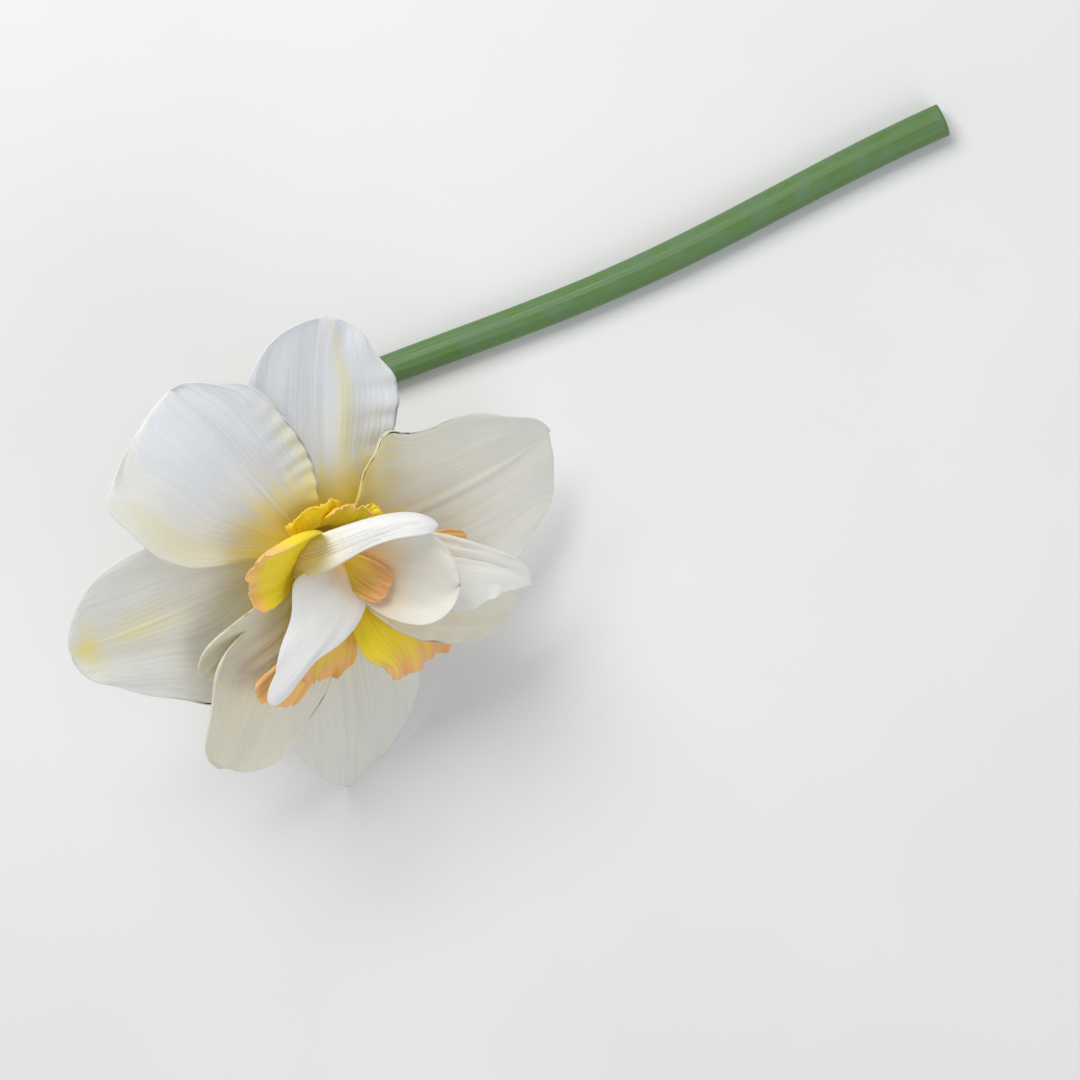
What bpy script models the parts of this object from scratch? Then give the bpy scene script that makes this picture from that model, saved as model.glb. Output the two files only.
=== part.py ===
"""A cut double daffodil lying on a table: bloom, ovary, pedicel, papery spathe and scape.

Every length below is in millimetres and every angle in degrees; MM turns lengths into metres.
World frame: +X runs from the bloom along the scape to its cut end, +Z is up, the table is Z = 0.
Flower frame: its origin is the middle of the mouth of the floral tube, +Z points out of the
bloom's face, and +X is the direction in which the tilted bloom slopes down to the table.
"""

import math

import bmesh
import bpy
import numpy as np

MM = 0.001

# Where the bloom stands and how it faces
MOUTH = (-48.91, 2.39, 35.3)  # middle of the tube's mouth
FACE_TILT = 45.0  # bloom axis from the vertical
FACE_TURN = -61.0  # compass direction of the tilt, from +X towards +Y

# Floral tube and ovary, measured back along the bloom axis from the mouth
MOUTH_RADIUS = 8.0
TUBE_LENGTH = 20.7
TUBE_FOOT_RADIUS = 3.5
TUBE_FLARE = 2.2  # power of the widening towards the mouth
TUBE_LIP = 0.6  # outward step of the rim
OVARY_LENGTH = 13.0
OVARY_RADIUS = 4.3
OVARY_ENDS = (0.16, 0.86)  # where its egg profile is cut, in shares of a half turn
OVARY_FULLNESS = 0.8  # power below 1 that fills out the egg
SEAT_GAP = 0.3  # clear space kept between pieces that meet

# Pedicel, scape and spathe
PEDICEL_RADIUS = 1.95
PEDICEL_BEND = 8.0  # radius of its turn from the bloom axis to the scape
PEDICEL_STRAIGHT = 9.0
SCAPE_LENGTH = 142.0
SCAPE_HALF_WIDTH = (3.0, 3.35)  # at the spathe, at the cut end
SCAPE_HALF_HEIGHT = (2.7, 2.85)
SCAPE_BOW = 3.0  # sideways curve of the scape over its length
SCAPE_RIDGE = 0.05  # height of the ridge along each narrow side over the half width
SCAPE_SHOULDER = (0.03, 0.86)  # share of the length that is rounded off, and its width at the top
HOLLOW_SHARE = 0.42  # bore of the cut end over its outside
HOLLOW_DEPTH = 9.0
SPATHE_LENGTH = 33.0
SPATHE_RADIUS = 2.65  # middle of its wall, round the pedicel
SPATHE_WRAP = ((0.0, 158.0), (0.16, 150.0), (0.3, 88.0), (1.0, 34.0))  # half angle along it
SPATHE_WIDTH = ((0.0, SPATHE_RADIUS), (0.25, 2.95), (0.6, 5.0), (1.0, 0.9))  # radius along it
SPATHE_DROP = ((0.0, 0.0), (0.25, 0.1), (0.6, -1.2), (1.0, -1.2))  # its distance from the pedicel
SPATHE_WALL = 0.25

WALL = 0.5  # thickness of tepals, lobes and petaloids
BLADE_ROWS = 13
BLADE_COLUMNS = 8
ROW_CROWDING = 1.5  # power that draws the rows together towards the tip
NARROWEST = 0.6  # least half width, at the tip
ROLL_FROM = 0.5  # share of the half width outside which a margin curls
ROLL_GROWN = 0.6  # share of the length by which the curl is complete
CREASE_SPREAD = 0.15  # width of the groove over the half width

SIDE_STEPS = 24  # steps of the integral across half a blade
LENGTH_STEPS = 96  # steps of the integral along a blade
ROUND_SIDES = 24  # sides of the tube and the ovary

# What a blade has unless its own line says otherwise
PLAIN = {
    "turn": 0.0,  # direction of its base round the bloom axis
    "heading": 0.0,  # direction in which it leaves the base, from turn
    "sweep": 0.0,  # how far that direction has swung at the tip
    "radius": 7.0,  # distance of its base from the bloom axis
    "height": 0.6,  # height of its base above the mouth
    "length": 50.0,
    "half_width": 15.0,
    "foot": 0.22,  # half width of the base over half_width
    "widest": 0.6,  # share of the length where it is widest
    "tip": (2.2, 2.0),  # powers of the rounding beyond the widest place
    "finger": 0.0,  # least half width of a narrow end over half_width
    "rise": (0.0, 0.0, 0.0),  # slope of the midrib at base, middle and tip
    "cup": (20.0, 10.0),  # turn-up of the margins at base and tip
    "roll": (0.0, 0.0),  # extra curl of the left and right margins
    "twist": (0.0, 0.0),  # turn about the midrib at base and tip
    "crease": 0.0,  # depth of the groove along the midrib
    "side_wave": (0.0, 1.0, 0.0),  # height, number and phase of waves along the sides
    "end_wave": (0.0, 1.0, 0.0),  # height, number and phase of waves across the end
}

TEPALS = {
    "tepal_inner_1": dict(
        turn=181.5, height=1.8, length=47, half_width=17.3, foot=0.3, widest=0.54, tip=(2.5, 1.7),
        rise=(8, -4, -24), cup=(22, 12), side_wave=(1.0, 1.2, 200), crease=0.4,
    ),
    "tepal_outer_1": dict(
        turn=134.5, length=41.5, half_width=17, foot=0.28, widest=0.54, sweep=-12, tip=(2.8, 1.9),
        rise=(-2, -6, -8), cup=(8, 10), side_wave=(0.5, 1.0, 60), crease=0.3,
    ),
    "tepal_inner_2": dict(
        turn=47, height=1.8, length=45.5, half_width=19, foot=0.3, widest=0.44, sweep=20,
        tip=(3.0, 1.5), rise=(8, 2, -4), cup=(18, 10), side_wave=(0.8, 1.2, 20), crease=0.5,
    ),
    "tepal_outer_2": dict(
        turn=233, length=46.5, half_width=17, foot=0.26, widest=0.56, sweep=0, tip=(2.2, 1.4),
        rise=(-2, -2, -8), cup=(8, 8), side_wave=(0.5, 1.0, 90), crease=0.3,
    ),
    "tepal_inner_3": dict(
        turn=289, height=1.8, length=40, half_width=13.5, foot=0.28, widest=0.62, tip=(3.4, 1.9),
        rise=(8, 0, -4), cup=(18, 10), roll=(0, 70), side_wave=(0.5, 1.0, 40), crease=0.3,
    ),
    "tepal_outer_3": dict(
        turn=326, length=51.5, half_width=15.5, foot=0.26, widest=0.5, sweep=-10, tip=(1.7, 1.3),
        rise=(-2, -2, -10), cup=(8, 14), side_wave=(0.5, 1.0, 0), crease=0.5,
    ),
}

LOBE = dict(
    radius=5.7, height=0.55, half_width=8.0, foot=0.22, widest=0.82, tip=(2.4, 2.2),
    cup=(24, 8), length=26, twist=(-5, -12),
)

LOBES = {
    "corona_lobe_1": dict(
        LOBE, turn=204, sweep=30, length=23, half_width=6.8, foot=0.17, rise=(80, 38, 14),
        cup=(34, 26), end_wave=(0.5, 2.0, 30),
    ),
    "corona_lobe_2": dict(
        LOBE, turn=165, length=17, half_width=4.9, rise=(70, 54, 76), end_wave=(0.5, 2.0, 200),
    ),
    "corona_lobe_3": dict(
        LOBE, turn=121.5, length=17.5, half_width=4.4, foot=0.2, rise=(76, 46, 44),
        end_wave=(0.5, 2.5, 90),
    ),
    "corona_lobe_4": dict(
        LOBE, turn=85, length=17, half_width=4.9, foot=0.17, rise=(77, 42, 24), end_wave=(0.5, 2.0, 0),
    ),
    "corona_lobe_5": dict(
        LOBE, turn=45, length=27, half_width=7, foot=0.18, rise=(78, 19, 8), end_wave=(0.5, 2.5, 120),
    ),
    "corona_lobe_6": dict(
        LOBE, turn=-2, sweep=-38, length=28.5, half_width=10, foot=0.15, rise=(80, 16, 10),
        end_wave=(0.8, 2.5, 60),
    ),
    "corona_lobe_7": dict(
        LOBE, turn=-48.5, length=21.5, half_width=6.5, foot=0.18, rise=(81, 17, 12),
        end_wave=(0.6, 2.5, 0),
    ),
    "corona_lobe_8": dict(
        LOBE, turn=-86, length=24.5, half_width=7, foot=0.17, rise=(76, 14, 10),
        end_wave=(0.5, 2.5, 160),
    ),
}

PETALOIDS = {
    "petaloid_1": dict(
        turn=180, heading=-70, sweep=-130, radius=3.2, length=36, half_width=5.5, foot=0.26,
        rise=(80, 50, -10), cup=(40, 50), twist=(-50, -95), widest=0.5, tip=(2.4, 2.0),
    ),
    "petaloid_2": dict(
        turn=308, heading=-66, sweep=48, radius=3.4, length=36.5, half_width=8.6, foot=0.16,
        rise=(86, 31, -6), cup=(14, -50), twist=(10, 20), widest=0.4, tip=(1.3, 1.0), finger=0.28,
    ),
    "petaloid_3": dict(
        turn=34, radius=3.2, length=25.5, half_width=9.2, foot=0.17, widest=0.66, tip=(2.4, 2.0),
        rise=(86, 64, 52), cup=(46, 30), end_wave=(0.5, 1.5, 0),
    ),
    "petaloid_4": dict(
        turn=52, sweep=-70, radius=4.6, length=42.5, half_width=7.5, foot=0.15, widest=0.6,
        tip=(1.8, 1.3), rise=(82, 28, 2), cup=(24, 20), twist=(-8, -4), crease=0.3,
    ),
    "petaloid_5": dict(
        turn=9, sweep=32, radius=4.7, length=41.5, half_width=8.8, foot=0.15, widest=0.66,
        tip=(2.0, 1.5), rise=(86, 15, -2), cup=(16, 10), twist=(-9, 0), side_wave=(0.5, 2.0, 0),
    ),
    "petaloid_6": dict(
        turn=242, sweep=10, radius=5.7, height=0.55, length=30, half_width=7.6, foot=0.13,
        widest=0.62, tip=(3.0, 2.0), rise=(72, -4, -2), cup=(8, 4), roll=(0, 60),
    ),
}

FRILLS = {
    "corona_frill": dict(
        LOBE, turn=20, radius=1.3, length=17, half_width=4.0, foot=0.3, rise=(80, 74, 50),
        cup=(30, 20), twist=(0, 0), end_wave=(0.5, 2.5, 0),
    ),
}

WHITE = (0.90, 0.90, 0.86)
CREAM = (0.90, 0.87, 0.70)
YELLOW = (0.95, 0.70, 0.05)
ORANGE = (0.95, 0.50, 0.20)
GREEN = (0.16, 0.30, 0.07)
DARK_GREEN = (0.10, 0.22, 0.08)
YELLOW_GREEN = (0.45, 0.55, 0.16)
TAN = (0.50, 0.38, 0.22)


def clear_scene():
    for thing in list(bpy.data.objects):
        bpy.data.objects.remove(thing, do_unlink=True)


def finish_of(name, colour, roughness):
    material = bpy.data.materials.new(name)
    material.use_nodes = True
    shader = material.node_tree.nodes["Principled BSDF"]
    shader.inputs["Base Color"].default_value = (*colour, 1.0)
    shader.inputs["Roughness"].default_value = roughness
    return material


def add_object(name, points, faces, material, parent=None):
    """An object from points in millimetres; its faces are turned outwards and shaded smooth."""
    mesh = bpy.data.meshes.new(name)
    mesh.from_pydata((np.asarray(points) * MM).tolist(), [], faces)
    shaper = bmesh.new()
    shaper.from_mesh(mesh)
    bmesh.ops.recalc_face_normals(shaper, faces=shaper.faces)
    shaper.to_mesh(mesh)
    shaper.free()
    mesh.shade_smooth()
    mesh.materials.append(material)
    thing = bpy.data.objects.new(name, mesh)
    bpy.context.scene.collection.objects.link(thing)
    thing.parent = parent
    return thing


def direction(slope, heading):
    """Unit vectors at a slope above the mouth's plane and a heading round the bloom axis."""
    flat = np.cos(slope)
    return np.stack([flat * np.cos(heading), flat * np.sin(heading), np.sin(slope)], axis=-1)


def along(blade, shares):
    """Slope and heading of the midrib, in radians, at shares of its length."""
    base, middle, tip = np.radians(blade["rise"])
    slope = base * (1 - shares) * (1 - 2 * shares) + 4 * middle * shares * (1 - shares)
    slope = slope + tip * shares * (2 * shares - 1)
    heading = blade["turn"] + blade["heading"] + blade["sweep"] * shares**2
    return slope, np.radians(heading)


def midrib(blade, shares):
    """Points of the midrib: the integral of its direction from the base on."""
    steps = np.linspace(0, 1, LENGTH_STEPS + 1)
    slope, heading = along(blade, (steps[1:] + steps[:-1]) / 2)
    walk = np.cumsum(direction(slope, heading), axis=0) * blade["length"] / LENGTH_STEPS
    walk = np.vstack([np.zeros(3), walk])
    turn = math.radians(blade["turn"])
    base = np.array([math.cos(turn), math.sin(turn), 0.0]) * blade["radius"]
    base[2] = blade["height"]
    return base + np.stack([np.interp(shares, steps, walk[:, axis]) for axis in range(3)], axis=-1)


def half_widths(blade, shares):
    """Half width at shares of the length: a sine up to the widest place, then a rounded end."""
    widest = blade["widest"]
    first, second = blade["tip"]
    opening = blade["foot"] + (1 - blade["foot"]) * np.sin(np.pi / 2 * np.minimum(shares / widest, 1))
    beyond = np.clip((shares - widest) / (1 - widest), 0, 1)
    closing = np.maximum(1 - beyond**first, 0) ** (1 / second)
    closing = np.maximum(closing, blade["finger"] * np.sqrt(1 - beyond**8))
    return np.maximum(blade["half_width"] * opening * closing, NARROWEST)


def section(blade, shares, across):
    """Sideways and inward place of each point of a cross-section that curls towards its margins."""
    steps = np.linspace(0, 1, SIDE_STEPS + 1)
    middle = (steps[1:] + steps[:-1]) / 2
    cup = np.interp(shares, [0, 1], np.radians(blade["cup"]))[:, None]
    grown = np.sin(np.pi / 2 * np.clip(shares / ROLL_GROWN, 0, 1))[:, None]
    outer = np.clip((middle - ROLL_FROM) / (1 - ROLL_FROM), 0, 1)
    sideways = np.empty((len(shares), len(across)))
    inward = np.empty_like(sideways)
    for side, curl in ((1, blade["roll"][0]), (-1, blade["roll"][1])):
        bend = cup * middle + math.radians(curl) * grown * outer
        out = np.cumsum(np.cos(bend), axis=1) / SIDE_STEPS
        lift = np.cumsum(np.sin(bend), axis=1) / SIDE_STEPS
        chosen = np.flatnonzero(across * side >= 0)
        places = np.abs(across[chosen])
        for row in range(len(shares)):
            sideways[row, chosen] = side * np.interp(places, steps, np.append(0, out[row]))
            inward[row, chosen] = np.interp(places, steps, np.append(0, lift[row]))
    return sideways, inward


def waves(blade, shares, across):
    """Height of the waves along the sides and across the end, and of the crease."""
    height, number, phase = blade["side_wave"]
    sides = np.abs(across) ** 3 * np.sign(across + 1e-9)
    along_sides = height * sides * np.sin(2 * np.pi * number * shares + math.radians(phase))
    height, number, phase = blade["end_wave"]
    across_end = height * shares**3 * np.sin(np.pi * number * across + math.radians(phase))
    groove = -blade["crease"] * np.exp(-((across / CREASE_SPREAD) ** 2)) * np.sin(np.pi * shares)
    return along_sides + across_end + groove


def blade_points(blade, rows, columns):
    """The middle surface of a tepal, lobe or petaloid, as a grid of rows from base to tip."""
    shares = 1 - (1 - np.linspace(0, 1, rows)) ** ROW_CROWDING
    across = np.linspace(-1, 1, columns)
    slope, heading = along(blade, shares)
    forward = direction(slope, heading)
    level = np.stack([-np.sin(heading), np.cos(heading), np.zeros(rows)], axis=-1)
    face = np.cross(forward, level)
    twist = np.interp(shares, [0, 1], np.radians(blade["twist"]))[:, None]
    side = level * np.cos(twist) + face * np.sin(twist)
    inner = face * np.cos(twist) - level * np.sin(twist)
    sideways, inward = section(blade, shares, across)
    width = half_widths(blade, shares)[:, None]
    inward = inward * width + waves(blade, shares[:, None], across[None, :])
    middle = midrib(blade, shares)[:, None, :]
    return middle + side[:, None, :] * (sideways * width)[..., None] + inner[:, None, :] * inward[..., None]


def grid_faces(rows, columns):
    return [
        (row * columns + column, row * columns + column + 1,
         (row + 1) * columns + column + 1, (row + 1) * columns + column)
        for row in range(rows - 1)
        for column in range(columns - 1)
    ]


def add_blade(name, blade, colour, parent, rows=BLADE_ROWS, columns=BLADE_COLUMNS):
    """A thin closed solid on both sides of a blade's middle surface."""
    points = blade_points({**PLAIN, **blade}, rows, columns).reshape(-1, 3)
    thing = add_object(name, points, grid_faces(rows, columns), finish_of(name, colour, 0.55), parent)
    wall = thing.modifiers.new("wall", "SOLIDIFY")
    wall.thickness = WALL * MM
    wall.offset = 0.0
    return thing


def sleeve_faces(rings, sides):
    """Faces of a closed skin over a row of rings, with a flat cap at each end."""
    faces = []
    for ring in range(rings - 1):
        for side in range(sides):
            after = (side + 1) % sides
            faces.append((ring * sides + side, ring * sides + after,
                          (ring + 1) * sides + after, (ring + 1) * sides + side))
    faces.append(tuple(range(sides)))
    faces.append(tuple((rings - 1) * sides + side for side in range(sides)))
    return faces


def turned_points(profile, lobes, depth):
    """Rings about the bloom axis from (radius, height) pairs, drawn in and out in a few lobes."""
    angles = np.arange(ROUND_SIDES) * 2 * np.pi / ROUND_SIDES
    swell = 1 + depth * np.cos(lobes * angles)
    return np.array([
        [(radius * grow * math.cos(angle), radius * grow * math.sin(angle), height)
         for angle, grow in zip(angles, swell)]
        for radius, height in profile
    ])


def tube_profile():
    """The floral tube: a slender foot that flares towards a flat mouth."""
    shares = np.linspace(0, 1, 10)
    radii = TUBE_FOOT_RADIUS + (MOUTH_RADIUS - TUBE_LIP - TUBE_FOOT_RADIUS) * shares**TUBE_FLARE
    heights = -TUBE_LENGTH + (TUBE_LENGTH - 1.5 * TUBE_LIP) * shares
    rim = [(MOUTH_RADIUS, -0.7 * TUBE_LIP), (MOUTH_RADIUS - 0.25 * TUBE_LIP, 0.0)]
    return [*zip(radii, heights), *rim]


def ovary_profile():
    """The ovary: an egg with a narrow neck below the tube and a wider foot on the pedicel."""
    top = -TUBE_LENGTH - SEAT_GAP
    angles = np.linspace(*OVARY_ENDS, 12) * np.pi
    radii = OVARY_RADIUS * np.sin(angles) ** OVARY_FULLNESS
    fallen = (np.cos(angles[0]) - np.cos(angles)) / (np.cos(angles[0]) - np.cos(angles[-1]))
    return list(zip(radii, top - OVARY_LENGTH * fallen))


def bloom_frame():
    """Columns: the bloom's down-slope direction, its level direction and its axis."""
    tilt, turn = math.radians(FACE_TILT), math.radians(FACE_TURN)
    down = (math.cos(tilt) * math.cos(turn), math.cos(tilt) * math.sin(turn), -math.sin(tilt))
    level = (-math.sin(turn), math.cos(turn), 0.0)
    return np.column_stack([down, level, np.cross(down, level)])


def pedicel_path():
    """Middle line of the pedicel: out of the ovary, round the bend, then along the table."""
    axis = bloom_frame()[:, 2]
    reach = TUBE_LENGTH + OVARY_LENGTH + 2 * SEAT_GAP
    start = np.array(MOUTH) - axis * reach
    onward = np.array([1.0, 0.0, 0.0])
    inward = onward - axis * onward.dot(axis)
    inward /= np.linalg.norm(inward)
    turn = math.acos(-axis.dot(onward))
    bends = np.linspace(0, turn, 12)
    bend = [start + PEDICEL_BEND * (-axis * math.sin(a) + inward * (1 - math.cos(a))) for a in bends]
    straight = [bend[-1] + onward * step for step in np.linspace(0, PEDICEL_STRAIGHT, 5)[1:]]
    return np.array(bend + straight)


def add_pedicel():
    """A round stalk carried along its middle line."""
    path = pedicel_path()
    line = bpy.data.curves.new("pedicel", "CURVE")
    line.dimensions = "3D"
    line.bevel_depth = PEDICEL_RADIUS * MM
    line.bevel_resolution = 3
    line.use_fill_caps = True
    spline = line.splines.new("POLY")
    spline.points.add(len(path) - 1)
    spline.points.foreach_set("co", np.column_stack([path * MM, np.ones(len(path))]).ravel())
    line.materials.append(finish_of("pedicel", GREEN, 0.45))
    thing = bpy.data.objects.new("pedicel", line)
    bpy.context.scene.collection.objects.link(thing)


def scape_ring(middle, half_width, half_height, sides=20):
    """An oval across +X with a low ridge along each narrow side."""
    angles = np.arange(sides) * 2 * np.pi / sides
    ridge = 1 + SCAPE_RIDGE * np.cos(angles) ** 8
    across = half_width * ridge * np.cos(angles)
    up = half_height * np.sin(angles)
    return np.column_stack([np.full(sides, middle[0]), middle[1] + across, middle[2] + up])


def scape_rings():
    """Rings from the rounded top to the cut end, then back into its hollow."""
    top = pedicel_path()[-1] + np.array([SEAT_GAP, 0.0, 0.0])
    rounded, narrowed = SCAPE_SHOULDER
    rings = []
    for share in (0.0, rounded / 4, rounded, *np.linspace(0.1, 1.0, 15)):
        half_width = np.interp(share, [0, 1], SCAPE_HALF_WIDTH)
        half_height = np.interp(share, [0, 1], SCAPE_HALF_HEIGHT)
        shoulder = narrowed + (1 - narrowed) * math.sqrt(min(share / rounded, 1))
        bow = SCAPE_BOW * math.sin(math.pi * share) ** 2
        middle = (top[0] + SCAPE_LENGTH * share, top[1] - bow, half_height)
        rings.append(scape_ring(middle, half_width * shoulder, half_height * shoulder))
    end = (top[0] + SCAPE_LENGTH, top[1], SCAPE_HALF_HEIGHT[1])
    bore = (SCAPE_HALF_WIDTH[1] * HOLLOW_SHARE, SCAPE_HALF_HEIGHT[1] * HOLLOW_SHARE)
    rings.append(scape_ring(end, *bore))
    rings.append(scape_ring((end[0] - HOLLOW_DEPTH, end[1], end[2]), *bore))
    return np.array(rings)


def spathe_points(rows=16, columns=12):
    """A papery sheath: it starts as a sleeve round the pedicel and opens towards its tip."""
    top = pedicel_path()[-1]
    axis = bloom_frame()[:, 2]
    opening = np.array([0.0, axis[1], axis[2]]) / math.hypot(axis[1], axis[2])
    side = np.cross(opening, [1.0, 0.0, 0.0])
    shares = np.linspace(0, 1, rows)
    across = np.linspace(-1, 1, columns)
    wrap, radius, drop = (np.interp(shares, *zip(*course))
                          for course in (SPATHE_WRAP, SPATHE_WIDTH, SPATHE_DROP))
    turn = np.radians(wrap)[:, None] * across[None, :]
    lift = radius[:, None] * (1 - np.cos(turn)) - SPATHE_RADIUS - drop[:, None]
    points = top - np.array([1.0, 0.0, 0.0]) * SPATHE_LENGTH * shares[:, None, None]
    points = points + opening * lift[..., None]
    return points + side * (radius[:, None] * np.sin(turn))[..., None]


def main():
    clear_scene()
    head = bpy.data.objects.new("bloom_place", None)
    bpy.context.scene.collection.objects.link(head)
    head.location = np.array(MOUTH) * MM
    head.rotation_euler = (0.0, math.radians(FACE_TILT), math.radians(FACE_TURN))

    tube = turned_points(tube_profile(), lobes=6, depth=0.03)
    add_object("floral_tube", tube.reshape(-1, 3), sleeve_faces(len(tube), ROUND_SIDES),
               finish_of("floral_tube", YELLOW_GREEN, 0.45), head)
    ovary = turned_points(ovary_profile(), lobes=3, depth=0.05)
    add_object("ovary", ovary.reshape(-1, 3), sleeve_faces(len(ovary), ROUND_SIDES),
               finish_of("ovary", DARK_GREEN, 0.5), head)
    for name, blade in TEPALS.items():
        add_blade(name, blade, WHITE, head)
    for name, blade in LOBES.items():
        add_blade(name, blade, YELLOW, head)
    for name, blade in FRILLS.items():
        add_blade(name, blade, ORANGE, head)
    for name, blade in PETALOIDS.items():
        add_blade(name, blade, CREAM, head)

    add_pedicel()
    scape = scape_rings()
    add_object("flower_stem", scape.reshape(-1, 3), sleeve_faces(len(scape), scape.shape[1]),
               finish_of("flower_stem", GREEN, 0.45))
    spathe = spathe_points()
    paper = add_object("spathe", spathe.reshape(-1, 3), grid_faces(*spathe.shape[:2]),
                       finish_of("spathe", TAN, 0.7))
    wall = paper.modifiers.new("wall", "SOLIDIFY")
    wall.thickness = SPATHE_WALL * MM
    wall.offset = 0.0


main()
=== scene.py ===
"""The looks of a cut double daffodil that lies on its stem: fine blades, stalks and their finishes.

Lengths are in millimetres and angles in degrees until MM turns them into metres.
Bloom frame: origin in the middle of the floral tube's mouth, third axis out of the bloom's face,
first axis down the slope of the tilted bloom.
A blade is a tepal, corona lobe or petaloid. Its two parameters are s, from its base to its margin,
and t, from its clockwise side (-1) to its counter-clockwise side (+1).
"""

import math

import bpy
import numpy as np
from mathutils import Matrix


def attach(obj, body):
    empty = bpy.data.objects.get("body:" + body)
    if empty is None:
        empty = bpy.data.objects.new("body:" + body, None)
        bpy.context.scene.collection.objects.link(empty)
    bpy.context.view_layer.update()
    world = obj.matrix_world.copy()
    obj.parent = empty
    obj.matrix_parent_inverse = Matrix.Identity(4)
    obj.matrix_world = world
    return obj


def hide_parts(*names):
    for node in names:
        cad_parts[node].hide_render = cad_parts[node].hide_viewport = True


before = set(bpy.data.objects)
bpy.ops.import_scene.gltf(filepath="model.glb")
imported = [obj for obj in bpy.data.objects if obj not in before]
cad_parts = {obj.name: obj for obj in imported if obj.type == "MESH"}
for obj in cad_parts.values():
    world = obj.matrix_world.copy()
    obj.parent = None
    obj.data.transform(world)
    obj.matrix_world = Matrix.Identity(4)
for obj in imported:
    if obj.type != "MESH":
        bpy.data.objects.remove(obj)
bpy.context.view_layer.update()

MM = 0.001

# The way the bloom faces, as tilt from upright and turn of its down-slope side
FACE_TILT = 45.0
FACE_TURN = -61.0

# Floral tube, and the rings of its throat from the rim inwards
TUBE_LENGTH = 20.7
TUBE_FOOT_RADIUS = 3.5
TUBE_RIM_RADIUS = 7.7
TUBE_RIM_DEPTH = 0.5
TUBE_FLARE = 2.2  # power of the flare along the tube
TUBE_RIBS = (6, 0.015, 0.03)  # number, depth at the foot and what the rim adds
THROAT_RADII = (7.7, 7.1, 6.2, 5.2, 4.2, 3.0, 1.6)
THROAT_HEIGHTS = (-0.2, 0.0, -0.3, -1.2, -2.4, -3.2, -3.6)
GOLD_DEPTH = 4.5  # where the throat's gold ends, below the mouth
GOLD_FADE = 3.0

OVARY_LENGTH = 13.0
OVARY_RADIUS = 4.4
OVARY_CUTS = (0.16, 0.86)  # where the egg is cut at neck and foot, over half a turn
OVARY_POWER = 0.8  # under 1, so that its sides are fuller than a circle
OVARY_LOBES = (3, 0.05)  # number and depth
SEAT_GAP = 0.3  # between tube, ovary, pedicel and stem

PEDICEL_RADIUS = 2.0
PEDICEL_BEND = 8.0
PEDICEL_STRAIGHT = 9.0
PEDICEL_ENDS = (0.95, 0.1)  # its least radius over PEDICEL_RADIUS, and what the ends add
PEDICEL_RIBS = (10, 0.012)  # number and depth

# Stem, with half axes at its top and at its cut end
SCAPE_LENGTH = 142.0
SCAPE_HALF_WIDTH = (3.0, 3.35)
SCAPE_HALF_HEIGHT = (2.7, 2.85)
SCAPE_BOW = 3.0
SCAPE_RIBS = (16, 0.008)
SHOULDER = 0.03  # share of the length over which the top end rounds out
SHOULDER_START = 0.86  # size of the top end over the full stem
HOLLOW_DEPTH = 9.0
HOLLOW_PLACES = (0.0, 0.0, 0.0, 0.25, 0.6, 1.0)  # depths of the rings in the cut end, over HOLLOW_DEPTH
HOLLOW_SIZES = (0.94, 0.8, 0.5, 0.47, 0.44, 0.42)  # their sizes over the stem's

# Spathe: shares of its length with the half angle that it wraps, and shares with radius and drop
SPATHE_LENGTH = 33.0
SPATHE_WRAP_PLACES = (0, 0.16, 0.3, 1)
SPATHE_WRAP = (158, 150, 88, 34)
SPATHE_PLACES = (0, 0.25, 0.6, 1)
SPATHE_RADII = (2.65, 2.95, 5.0, 0.9)
SPATHE_DROP = (0.0, 0.1, -1.2, -1.2)
SPATHE_CRUMPLE = 0.22
SPATHE_WALL = 0.16
SPATHE_LIFT = 0.2  # least height above the table

# Blades
BLADE_THICKNESS = (0.8, 0.5, 0.16)  # at the base, at the middle and at the margin
ROLL_FROM = 0.5  # share of the half width outside which a margin rolls
LIP_FROM = 0.78  # share of the half width outside which a lip curls
ROLL_GROWN = 0.6  # share of the length by which the roll is complete
CREASE_SPREAD = 0.15  # share of the half width that the crease takes
RIDGE_HEIGHT = 0.7  # of the ridge inside the crease, over the crease's depth
RIDGE_NARROWER = 3.5  # how many times narrower than the crease it is
FRILL_INSIDE = 0.35  # share of the frill that is left at the midrib
RIB_COUNT = 14
BLUSH_STREAKS = 0.35  # how unevenly the yellow of the base ends
FLUSH_STREAKS = 0.4  # how unevenly the salmon of the margin ends
WARM_STREAKS = 0.25
BASE_WARMTH = 0.3  # ivory that every blade has at its base, and how far it reaches
BASE_WARM_REACH = 0.625

TEPAL_GRID = (150, 130)
PETALOID_GRID = (120, 90)
LOBE_GRID = (110, 120)

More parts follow.
